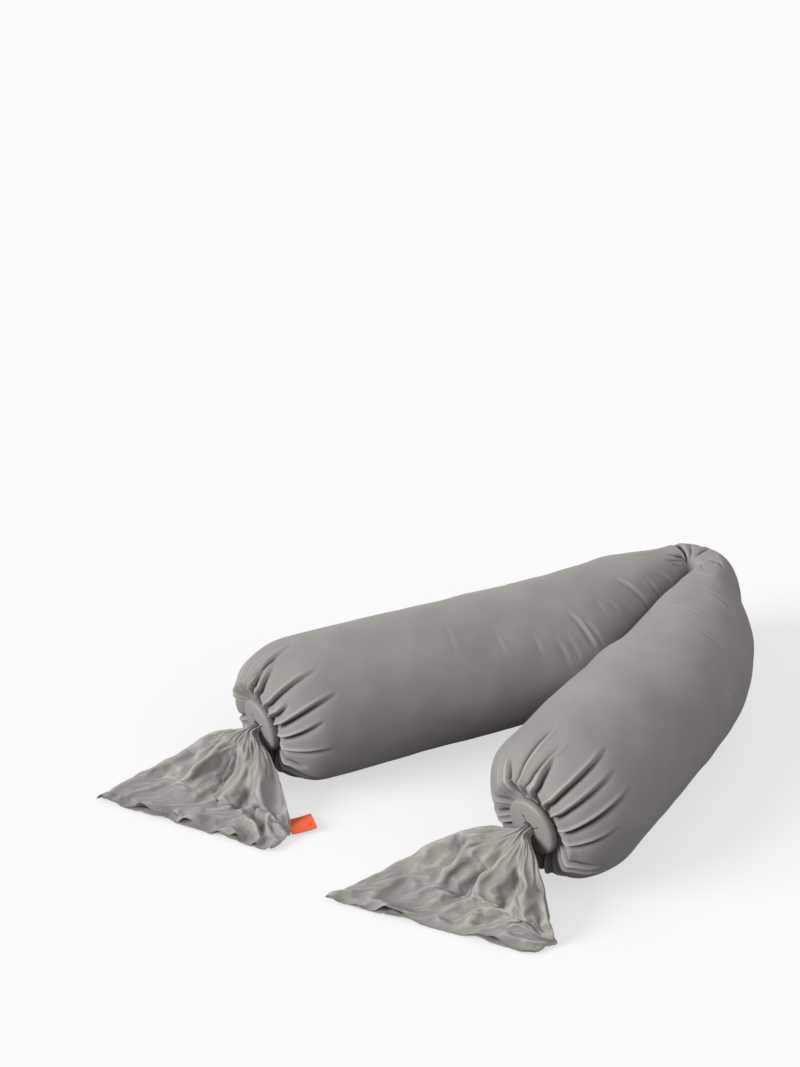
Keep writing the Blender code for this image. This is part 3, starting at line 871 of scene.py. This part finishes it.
def add_table():
    table = bpy.data.objects.new("draping_table", square_mesh("draping_table", DRAPING_HALF))
    bpy.context.scene.collection.objects.link(table)
    table.modifiers.new("Collision", "COLLISION")
    table.collision.thickness_outer = 0.002
    table.collision.cloth_friction = 12.0
    return table


def simulate_tail(tail, rows, uv):
    """Drape the pleated tail on the table and return its points."""
    name = f"draping_{tail.side}"
    mesh = grid_mesh(name, rows, uv)
    piece = bpy.data.objects.new(name, mesh)
    bpy.context.scene.collection.objects.link(piece)
    held = piece.vertex_groups.new(name="Held")
    pin_tail(held)
    table = add_table()
    cloth = piece.modifiers.new("Cloth", "CLOTH")
    for label, value in CLOTH_SETTINGS.items():
        setattr(cloth.settings, label, value)
    cloth.settings.shrink_min = -TAIL_SLACK
    cloth.settings.vertex_group_mass = "Held"
    for label, value in COLLISION_SETTINGS.items():
        setattr(cloth.collision_settings, label, value)
    scene = bpy.context.scene
    scene.frame_start = 1
    scene.frame_end = TAIL_FRAMES
    cloth.point_cache.frame_start = 1
    cloth.point_cache.frame_end = TAIL_FRAMES
    for number in range(1, TAIL_FRAMES + 1):
        scene.frame_set(number)
    graph = bpy.context.evaluated_depsgraph_get()
    settled = bpy.data.meshes.new_from_object(piece.evaluated_get(graph), depsgraph=graph)
    flat = np.empty(len(settled.vertices) * 3)
    settled.vertices.foreach_get("co", flat)
    bpy.data.objects.remove(piece)
    bpy.data.objects.remove(table)
    bpy.data.meshes.remove(settled)
    scene.frame_set(1)
    return flat.reshape(rows.shape)


def fold_hem(points, along):
    """Turn the cloth's edge inside; returns the points and their places from the hem."""
    normals = row_normals(points)
    middle = points.mean(axis=1, keepdims=True)
    inward = -normals if (normals * (points - middle)).sum() > 0 else normals
    turned = []
    places = list(along[-1] - along)
    for k, back in enumerate(HEM_TURN_ROWS):
        row = points[-1 - back] + inward[-1 - back] * HEM_THICKNESS * (0.5 if k == 0 else 1.0)
        row[:, 2] = np.maximum(row[:, 2], 0.0006)
        turned.append(row)
        places.append(-(along[-1] - along[-1 - back]) - 0.001)
    return np.concatenate([points, turned]), cloth_uv(places, TAIL_AROUND, TAIL_ROUND)


def hollowness(points):
    """How far each point lies above the middle of its neighbours: valleys are negative."""
    normals = row_normals(points)
    if (normals * (points - points.mean(axis=1, keepdims=True))).sum() < 0:
        normals = -normals
    beside = (np.roll(points, 2, axis=1) + np.roll(points, -2, axis=1)) / 2
    padded = np.concatenate([points[:1]] * 2 + [points] + [points[-1:]] * 2)
    along = (padded[:-4] + padded[4:]) / 2
    values = ((points - (beside + along) / 2) * normals).sum(axis=2)
    values[-len(HEM_TURN_ROWS) - 1 :] = 0
    values[:2] = 0
    # scaled for painted shade in the tail's valleys and painted highlight on its ridges
    return values * TAIL_SHADE


def build_tail(tail, material):
    shares = np.linspace(-THROAT_SHARE, 1.0 + HEM_DEPTH / tail.reach, TAIL_ALONG)
    rows = np.array([tail.row(share) for share in shares])
    gaps = np.linalg.norm(np.diff(rows, axis=0), axis=2).mean(axis=1)
    along = np.concatenate([[0.0], np.cumsum(gaps)])
    uv = cloth_uv(along, TAIL_AROUND, TAIL_ROUND)
    points = simulate_tail(tail, rows, uv)
    points, uv = fold_hem(points, along)
    name = f"tail_cloth_{tail.side}"
    mesh = grid_mesh(name, points, uv, values=hollowness(points))
    piece = add_piece(name, mesh, material)
    subdivide = piece.modifiers.new("Smooth cloth", "SUBSURF")
    subdivide.levels = 1
    subdivide.render_levels = 1
    bpy.context.view_layer.update()
    apply_modifiers(piece)
    piece.data.shade_smooth()
    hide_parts(f"gathered_neck_{tail.side}", f"tail_{tail.side}", f"hem_{tail.side}")
    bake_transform(piece)
    return points


# ---------------------------------------------------------------- care label


def build_label(material):
    """A ribbon folded back on itself, sewn into the left tail's side seam."""
    low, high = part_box("care_label")
    hinge = next(j for j in frame["joints"] if j["name"] == "label_flip")
    seam = unit(np.array(hinge["axis"]))
    out = np.array([-seam[1], seam[0], 0.0])
    middle = (np.array(low) + np.array(high)) / 2
    root = np.array(hinge["pos_m"])
    if np.dot(middle - root, out) < 0:
        out = -out
    layer = 0.0006
    path = []
    for i in range(19):
        share = i / 18
        path.append((LABEL_LENGTH * share, layer * (0.5 + share * 0.5)))
    for i in range(1, 8):
        turn = math.pi * i / 8
        path.append((LABEL_LENGTH + layer * math.sin(turn), layer * math.cos(turn)))
    for i in range(19):
        share = 1 - i / 18
        path.append((LABEL_LENGTH * share, -layer * (0.5 + share * 0.5)))
    rows = []
    widths = np.linspace(-LABEL_WIDTH / 2, LABEL_WIDTH / 2, 13)
    for ahead, above in path:
        lift = 0.004 * (ahead / LABEL_LENGTH) ** 2
        curl = 0.0022 * (2 * widths / LABEL_WIDTH) ** 2 * ahead / LABEL_LENGTH
        row = root + out * ahead + np.outer(widths, seam) + np.outer(above + lift - curl, UP)
        rows.append(row)
    rows = np.array(rows)
    along = np.cumsum([0] + [math.dist(a, b) for a, b in zip(path, path[1:])])
    uv = np.stack(np.broadcast_arrays(widths[None, :], along[:, None]), axis=2)
    mesh = grid_mesh("care_ribbon", rows, uv, closed=False)
    piece = add_piece("care_ribbon", mesh, material)
    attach(piece, "label")
    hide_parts("care_label")


# ---------------------------------------------------------------- materials


def new_group(name, inputs, outputs):
    """An empty shader node group with named sockets, and its end nodes."""
    group = bpy.data.node_groups.new(name, "ShaderNodeTree")
    for label, kind, value in inputs:
        socket = group.interface.new_socket(label, in_out="INPUT", socket_type=kind)
        if value is not None:
            socket.default_value = value
    for label, kind in outputs:
        group.interface.new_socket(label, in_out="OUTPUT", socket_type=kind)
    return group, group.nodes.new("NodeGroupInput"), group.nodes.new("NodeGroupOutput")


def add_node(tree, kind, inputs=None, **settings):
    """A shader node with its settings; each input is a value or a socket to link."""
    node = tree.nodes.new(f"ShaderNode{kind}")
    for label, value in settings.items():
        setattr(node, label, value)
    for label, value in (inputs or {}).items():
        if isinstance(value, bpy.types.NodeSocket):
            tree.links.new(value, node.inputs[label])
        else:
            node.inputs[label].default_value = value
    return node


def math_node(tree, operation, *values):
    return add_node(tree, "Math", dict(enumerate(values)), operation=operation).outputs[0]


def mix_colors(tree, share, first, second, blend_type="MIX"):
    inputs = {0: share, 6: first, 7: second}
    return add_node(tree, "Mix", inputs, data_type="RGBA", blend_type=blend_type).outputs[2]


def knit_group():
    """Fine jersey: columns of slanted loops, in metres along the cloth."""
    inputs = [
        ("Cloth", "NodeSocketVector", None),
        ("Loop Size", "NodeSocketFloat", 0.001),
        ("Unevenness", "NodeSocketFloat", 0.3),
    ]
    group, given, out = new_group("Jersey knit", inputs, [("Height", "NodeSocketFloat")])
    cloth = given.outputs["Cloth"]
    split = add_node(group, "SeparateXYZ", {0: cloth})
    u = math_node(group, "DIVIDE", split.outputs[0], given.outputs["Loop Size"])
    v = math_node(group, "DIVIDE", split.outputs[1], given.outputs["Loop Size"])
    column = math_node(group, "PINGPONG", u, 0.5)
    slanted = math_node(group, "ADD", v, math_node(group, "MULTIPLY", column, 1.4))
    loop = math_node(group, "SINE", math_node(group, "MULTIPLY", slanted, 2 * math.pi))
    rib = math_node(group, "SINE", math_node(group, "MULTIPLY", column, 2 * math.pi))
    yarn = math_node(group, "MULTIPLY", math_node(group, "ADD", loop, 1.0), rib)
    rough = add_node(group, "TexNoise", {"Scale": 900.0, "Detail": 2.0, "Vector": cloth})
    uneven = math_node(group, "MULTIPLY", rough.outputs["Fac"], given.outputs["Unevenness"])
    total = math_node(group, "ADD", math_node(group, "MULTIPLY", yarn, 0.4), uneven)
    group.links.new(total, out.inputs["Height"])
    return group


def mottle_group():
    """Uneven dye: broad soft patches with a fine heather on top."""
    inputs = [
        ("Place", "NodeSocketVector", None),
        ("Pale", "NodeSocketColor", (0.4, 0.38, 0.35, 1)),
        ("Dark", "NodeSocketColor", (0.2, 0.19, 0.17, 1)),
        ("Heather", "NodeSocketFloat", 0.4),
    ]
    group, given, out = new_group("Uneven dye", inputs, [("Color", "NodeSocketColor")])
    place = given.outputs["Place"]
    broad = add_node(group, "TexNoise", {"Scale": 14.0, "Detail": 4.0, "Vector": place})
    fine = add_node(group, "TexNoise", {"Scale": 520.0, "Detail": 3.0, "Vector": place})
    soft = math_node(group, "SUBTRACT", broad.outputs["Fac"], 0.5)
    grain = math_node(group, "SUBTRACT", fine.outputs["Fac"], 0.5)
    grain = math_node(group, "MULTIPLY", grain, given.outputs["Heather"])
    share = math_node(group, "ADD", math_node(group, "ADD", soft, grain), 0.5)
    mixed = mix_colors(group, share, given.outputs["Dark"], given.outputs["Pale"])
    group.links.new(mixed, out.inputs["Color"])
    return group


def crease_group():
    """Painted shade darkens the valleys of folds, and a painted highlight pales their ridges."""
    inputs = [
        ("Color", "NodeSocketColor", None),
        ("Height", "NodeSocketFloat", 0.0),
        # painted shade colour for fold valleys; the next one is the painted highlight colour for fold
        # ridges
        ("Deep", "NodeSocketColor", (0.32, 0.305, 0.30, 1)),
        ("Painted highlight", "NodeSocketColor", (1.34, 1.33, 1.32, 1)),
    ]
    group, given, out = new_group("Painted crease shade and highlight", inputs, [("Color", "NodeSocketColor")])
    color = given.outputs["Color"]
    # painted shade in the valleys and painted highlight on the ridges, by the fold's height
    for low, high, tint in ((-0.0010, -0.0065, "Deep"), (0.0002, 0.0020, "Painted highlight")):
        limits = {"From Min": low, "From Max": high, "Value": given.outputs["Height"]}
        share = add_node(group, "MapRange", limits, interpolation_type="SMOOTHSTEP")
        color = mix_colors(group, share.outputs["Result"], color, given.outputs[tint], "MULTIPLY")
    group.links.new(color, out.inputs["Color"])
    return group


def stitch_group():
    """Two rows of stitches beside the hem; the cloth's second place is measured from it."""
    inputs = [
        ("Cloth", "NodeSocketVector", None),
        ("Hem", "NodeSocketFloat", 0.0125),
        ("Apart", "NodeSocketFloat", 0.0024),
        ("Stitch", "NodeSocketFloat", 0.0030),
    ]
    group, given, out = new_group("Hem stitches", inputs, [("Height", "NodeSocketFloat")])
    split = add_node(group, "SeparateXYZ", {0: given.outputs["Cloth"]})
    away = math_node(group, "SUBTRACT", split.outputs[1], given.outputs["Hem"])
    first = math_node(group, "ABSOLUTE", away)
    beyond = math_node(group, "SUBTRACT", away, given.outputs["Apart"])
    nearest = math_node(group, "MINIMUM", first, math_node(group, "ABSOLUTE", beyond))
    line = math_node(group, "SUBTRACT", 1.0, math_node(group, "DIVIDE", nearest, 0.0008))
    line = math_node(group, "MAXIMUM", line, 0.0)
    across = math_node(group, "DIVIDE", split.outputs[0], given.outputs["Stitch"])
    wave = math_node(group, "SINE", math_node(group, "MULTIPLY", across, math.pi))
    dash = math_node(group, "MULTIPLY", math_node(group, "ABSOLUTE", wave), 5.0)
    bead = math_node(group, "SUBTRACT", dash, 4.0)
    group.links.new(math_node(group, "MULTIPLY", line, bead), out.inputs["Height"])
    return group


def new_material(name):
    material = bpy.data.materials.new(name)
    material.use_nodes = True
    return material, material.node_tree, material.node_tree.nodes["Principled BSDF"]


def add_group(tree, group, inputs):
    node = tree.nodes.new("ShaderNodeGroup")
    node.node_tree = group
    for label, value in inputs.items():
        if isinstance(value, bpy.types.NodeSocket):
            tree.links.new(value, node.inputs[label])
        else:
            node.inputs[label].default_value = value
    return node


def add_bump(tree, height, shader, strength, distance):
    bump = add_node(tree, "Bump", {"Strength": strength, "Distance": distance, "Height": height})
    tree.links.new(bump.outputs["Normal"], shader.inputs["Normal"])


def set_finish(shader, **values):
    for label, value in values.items():
        shader.inputs[label.replace("_", " ")].default_value = value


def dyed(tree, groups, pale, dark, heather):
    """The uneven dye's colour, spread by place on the object."""
    place = add_node(tree, "TexCoord").outputs["Object"]
    values = {"Pale": (*pale, 1), "Dark": (*dark, 1), "Heather": heather, "Place": place}
    return add_group(tree, groups["dye"], values).outputs["Color"]


PALE_TAUPE = (0.362, 0.342, 0.317)
DARK_TAUPE = (0.250, 0.235, 0.217)
PALE_SILICONE = (0.33, 0.31, 0.285)
DARK_SILICONE = (0.27, 0.255, 0.232)
BRIGHT_RIBBON = (1.0, 0.14, 0.04)
DEEP_RIBBON = (0.92, 0.085, 0.02)
JERSEY_LOOP = 0.0011
RIBBON_LOOP = 0.0006


def jersey_material(groups, name, stitched=False):
    material, tree, shader = new_material(name)
    cloth = add_node(tree, "UVMap", uv_map="Cloth").outputs["UV"]
    color = dyed(tree, groups, PALE_TAUPE, DARK_TAUPE, 0.5)
    # painted shade in fold valleys and painted highlight on fold ridges, from the Crease heights
    height = add_node(tree, "Attribute", attribute_name="Crease").outputs["Fac"]
    painted_crease_light = add_group(tree, groups["crease"], {"Color": color, "Height": height})
    tree.links.new(painted_crease_light.outputs["Color"], shader.inputs["Base Color"])
    values = {"Loop Size": JERSEY_LOOP, "Unevenness": 0.4, "Cloth": cloth}
    relief = add_group(tree, groups["knit"], values).outputs["Height"]
    if stitched:
        hem = add_group(tree, groups["stitch"], {"Cloth": cloth})
        relief = math_node(tree, "ADD", relief, hem.outputs["Height"])
    add_bump(tree, relief, shader, 0.5, 0.00025)
    set_finish(shader, Roughness=0.82, Specular_IOR_Level=0.25)
    set_finish(shader, Sheen_Weight=0.35, Sheen_Roughness=0.45, Sheen_Tint=(0.92, 0.90, 0.88, 1))
    return material


def silicone_material(groups):
    material, tree, shader = new_material("Matte silicone")
    color = dyed(tree, groups, PALE_SILICONE, DARK_SILICONE, 0.2)
    tree.links.new(color, shader.inputs["Base Color"])
    place = add_node(tree, "TexCoord").outputs["Object"]
    grain = add_node(tree, "TexNoise", {"Scale": 700.0, "Vector": place})
    add_bump(tree, grain.outputs["Fac"], shader, 0.25, 0.0001)
    set_finish(shader, Roughness=0.55, Sheen_Weight=0.15)
    return material


def ribbon_material(groups):
    material, tree, shader = new_material("Woven ribbon")
    cloth = add_node(tree, "UVMap", uv_map="Cloth").outputs["UV"]
    color = dyed(tree, groups, BRIGHT_RIBBON, DEEP_RIBBON, 0.3)
    tree.links.new(color, shader.inputs["Base Color"])
    values = {"Loop Size": RIBBON_LOOP, "Unevenness": 0.2, "Cloth": cloth}
    weave = add_group(tree, groups["knit"], values)
    add_bump(tree, weave.outputs["Height"], shader, 0.4, 0.0002)
    set_finish(shader, Roughness=0.5, Sheen_Weight=0.3)
    return material


# ---------------------------------------------------------------- room, lights, camera


FLOOR_HALF = 40.0
FLOOR_SEEN = 0.95
FLOOR_GLOW = 0.62
FLOOR_BOUNCE = 0.22
FILL_EDGE = 0.10
FILL_TOP = 0.52
# Name, strength, softness in degrees and where it shines from
LIGHTS = (
    ("key_light", 3.25, 32.0, (-0.86, -0.30, 0.42)),
    ("side_light", 0.72, 60.0, (0.62, -0.48, 0.62)),
)


def mix_shaders(tree, share, first, second):
    mixed = add_node(tree, "MixShader", {"Fac": share})
    tree.links.new(first, mixed.inputs[1])
    tree.links.new(second, mixed.inputs[2])
    return mixed.outputs["Shader"]


def build_room():
    """A pale floor: it looks lighter than it is, so that little light comes back up from it."""
    floor = bpy.data.objects.new("floor", square_mesh("floor", FLOOR_HALF))
    bpy.context.scene.collection.objects.link(floor)
    material, tree, shader = new_material("Pale floor")
    set_finish(shader, Base_Color=(*[FLOOR_SEEN] * 3, 1), Roughness=0.9)
    glow = add_node(tree, "Emission").outputs["Emission"]
    shown = mix_shaders(tree, FLOOR_GLOW, shader.outputs["BSDF"], glow)
    dull = add_node(tree, "BsdfDiffuse", {"Color": (*[FLOOR_BOUNCE] * 3, 1)}).outputs["BSDF"]
    seen = add_node(tree, "LightPath").outputs["Is Camera Ray"]
    either = mix_shaders(tree, seen, dull, shown)
    tree.links.new(either, tree.nodes["Material Output"].inputs["Surface"])
    floor.data.materials.append(material)


def build_lights():
    """A soft key from the left, a weak one from the right and a sky that dims to its edge."""
    world = bpy.data.worlds.new("Soft studio")
    world.use_nodes = True
    tree = world.node_tree
    fill = tree.nodes["Background"]
    fill.inputs["Color"].default_value = (1, 1, 1, 1)
    place = add_node(tree, "TexCoord").outputs["Generated"]
    height = add_node(tree, "SeparateXYZ", {0: place}).outputs["Z"]
    limits = {"To Min": FILL_EDGE, "To Max": FILL_TOP, "Value": height}
    ramp = add_node(tree, "MapRange", limits, interpolation_type="SMOOTHSTEP")
    tree.links.new(ramp.outputs["Result"], fill.inputs["Strength"])
    surround = add_node(tree, "Background", {"Strength": 1.0})
    seen = add_node(tree, "LightPath").outputs["Is Camera Ray"]
    mixed = mix_shaders(tree, seen, fill.outputs["Background"], surround.outputs["Background"])
    tree.links.new(mixed, tree.nodes["World Output"].inputs["Surface"])
    bpy.context.scene.world = world
    for name, strength, softness, origin in LIGHTS:
        lamp = bpy.data.lights.new(name, "SUN")
        lamp.energy = strength
        lamp.angle = math.radians(softness)
        holder = bpy.data.objects.new(name, lamp)
        holder.rotation_euler = (-Vector(origin)).to_track_quat("-Z", "Y").to_euler()
        bpy.context.scene.collection.objects.link(holder)


CAMERA_PLACE = (-0.4534, -1.9635, 1.244)
CAMERA_PITCH = math.radians(28.0)
CAMERA_LENS = 50.6


def build_camera():
    camera = bpy.data.cameras.new("camera")
    camera.lens = CAMERA_LENS
    camera.sensor_width = 36.0
    camera.clip_start = 0.05
    camera.clip_end = 60.0
    holder = bpy.data.objects.new("camera", camera)
    holder.location = CAMERA_PLACE
    holder.rotation_euler = (math.pi / 2 - CAMERA_PITCH, 0, 0)
    bpy.context.scene.collection.objects.link(holder)
    bpy.context.scene.camera = holder


# ---------------------------------------------------------------- everything


def main():
    bpy.context.scene.view_settings.view_transform = "Standard"
    groups = {"knit": knit_group(), "dye": mottle_group()}
    groups.update({"crease": crease_group(), "stitch": stitch_group()})
    jersey = jersey_material(groups, "Taupe jersey")
    hemmed = jersey_material(groups, "Hemmed jersey", stitched=True)
    silicone = silicone_material(groups)
    ribbon = ribbon_material(groups)
    build_cover(shape_skin(), jersey)
    for arm in ARMS.values():
        build_disc(arm, silicone)
        build_tail(Tail(arm), hemmed)
    build_label(ribbon)
    build_room()
    build_lights()
    build_camera()


main()
